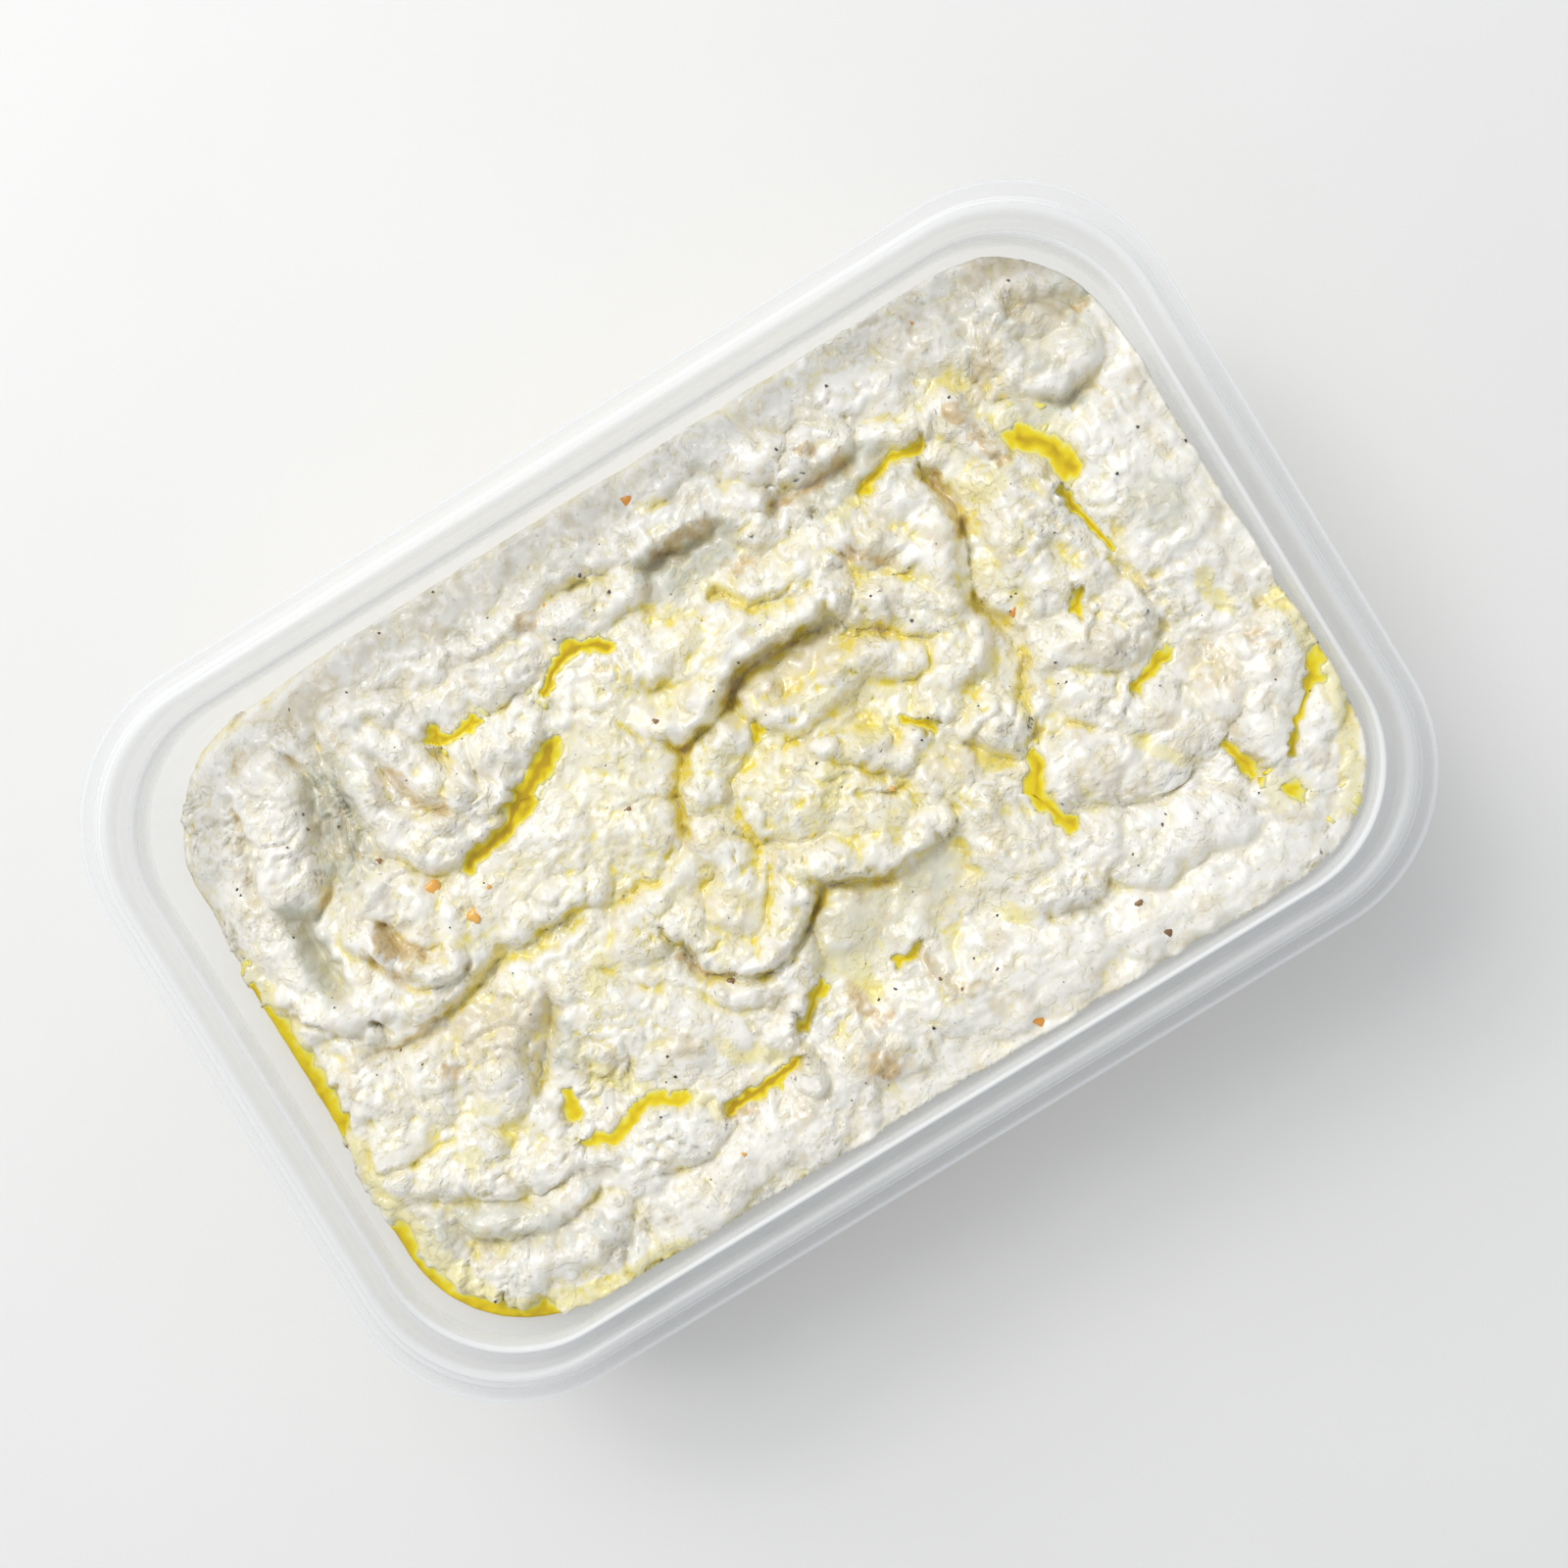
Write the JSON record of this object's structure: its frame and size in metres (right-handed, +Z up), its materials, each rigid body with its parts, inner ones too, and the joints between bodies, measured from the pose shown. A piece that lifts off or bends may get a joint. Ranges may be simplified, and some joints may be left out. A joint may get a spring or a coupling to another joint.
{
  "type": "baba ganoush in a rectangular plastic tub",
  "caption": "Smoky aubergine dip, spooned into soft folds with olive oil in its creases, in a shallow rounded rectangular tub of milky plastic with a stepped rim.",
  "frame": {"origin": "middle of the tub's underside, on the surface it stands on", "axes": "+X along the tub's long side, +Y along its short side, +Z up out of the tub's mouth"},
  "size_m": [0.1742, 0.1172, 0.05],
  "materials": {
    "tub_plastic": "milky translucent polypropylene with a soft satin sheen",
    "dip": "moist cream-white aubergine and tahini dip with darker flecks, softly glossy",
    "olive_oil": "clear yellow olive oil, very glossy"
  },
  "bodies": {
    "root": {"tub": "tub_plastic", "dip": "dip", "oil_west_wall": "olive_oil", "oil_south_west_corner": "olive_oil", "oil_shell_notch": "olive_oil", "oil_bun_crease": "olive_oil", "oil_north_crease": "olive_oil", "oil_sail_top": "olive_oil", "oil_north_east": "olive_oil", "oil_east_slot": "olive_oil", "oil_east_dimple": "olive_oil", "oil_east_mass_foot": "olive_oil", "oil_pebble_west": "olive_oil", "oil_tongue_west": "olive_oil", "oil_tongue_tip": "olive_oil", "oil_tongue_east": "olive_oil", "oil_west_pond": "olive_oil", "oil_west_trickle": "olive_oil", "oil_south_slot": "olive_oil", "oil_crescent_foot": "olive_oil", "oil_bowl_foot": "olive_oil", "oil_heart_east": "olive_oil", "oil_lump_notch": "olive_oil"}
  },
  "joints": []
}
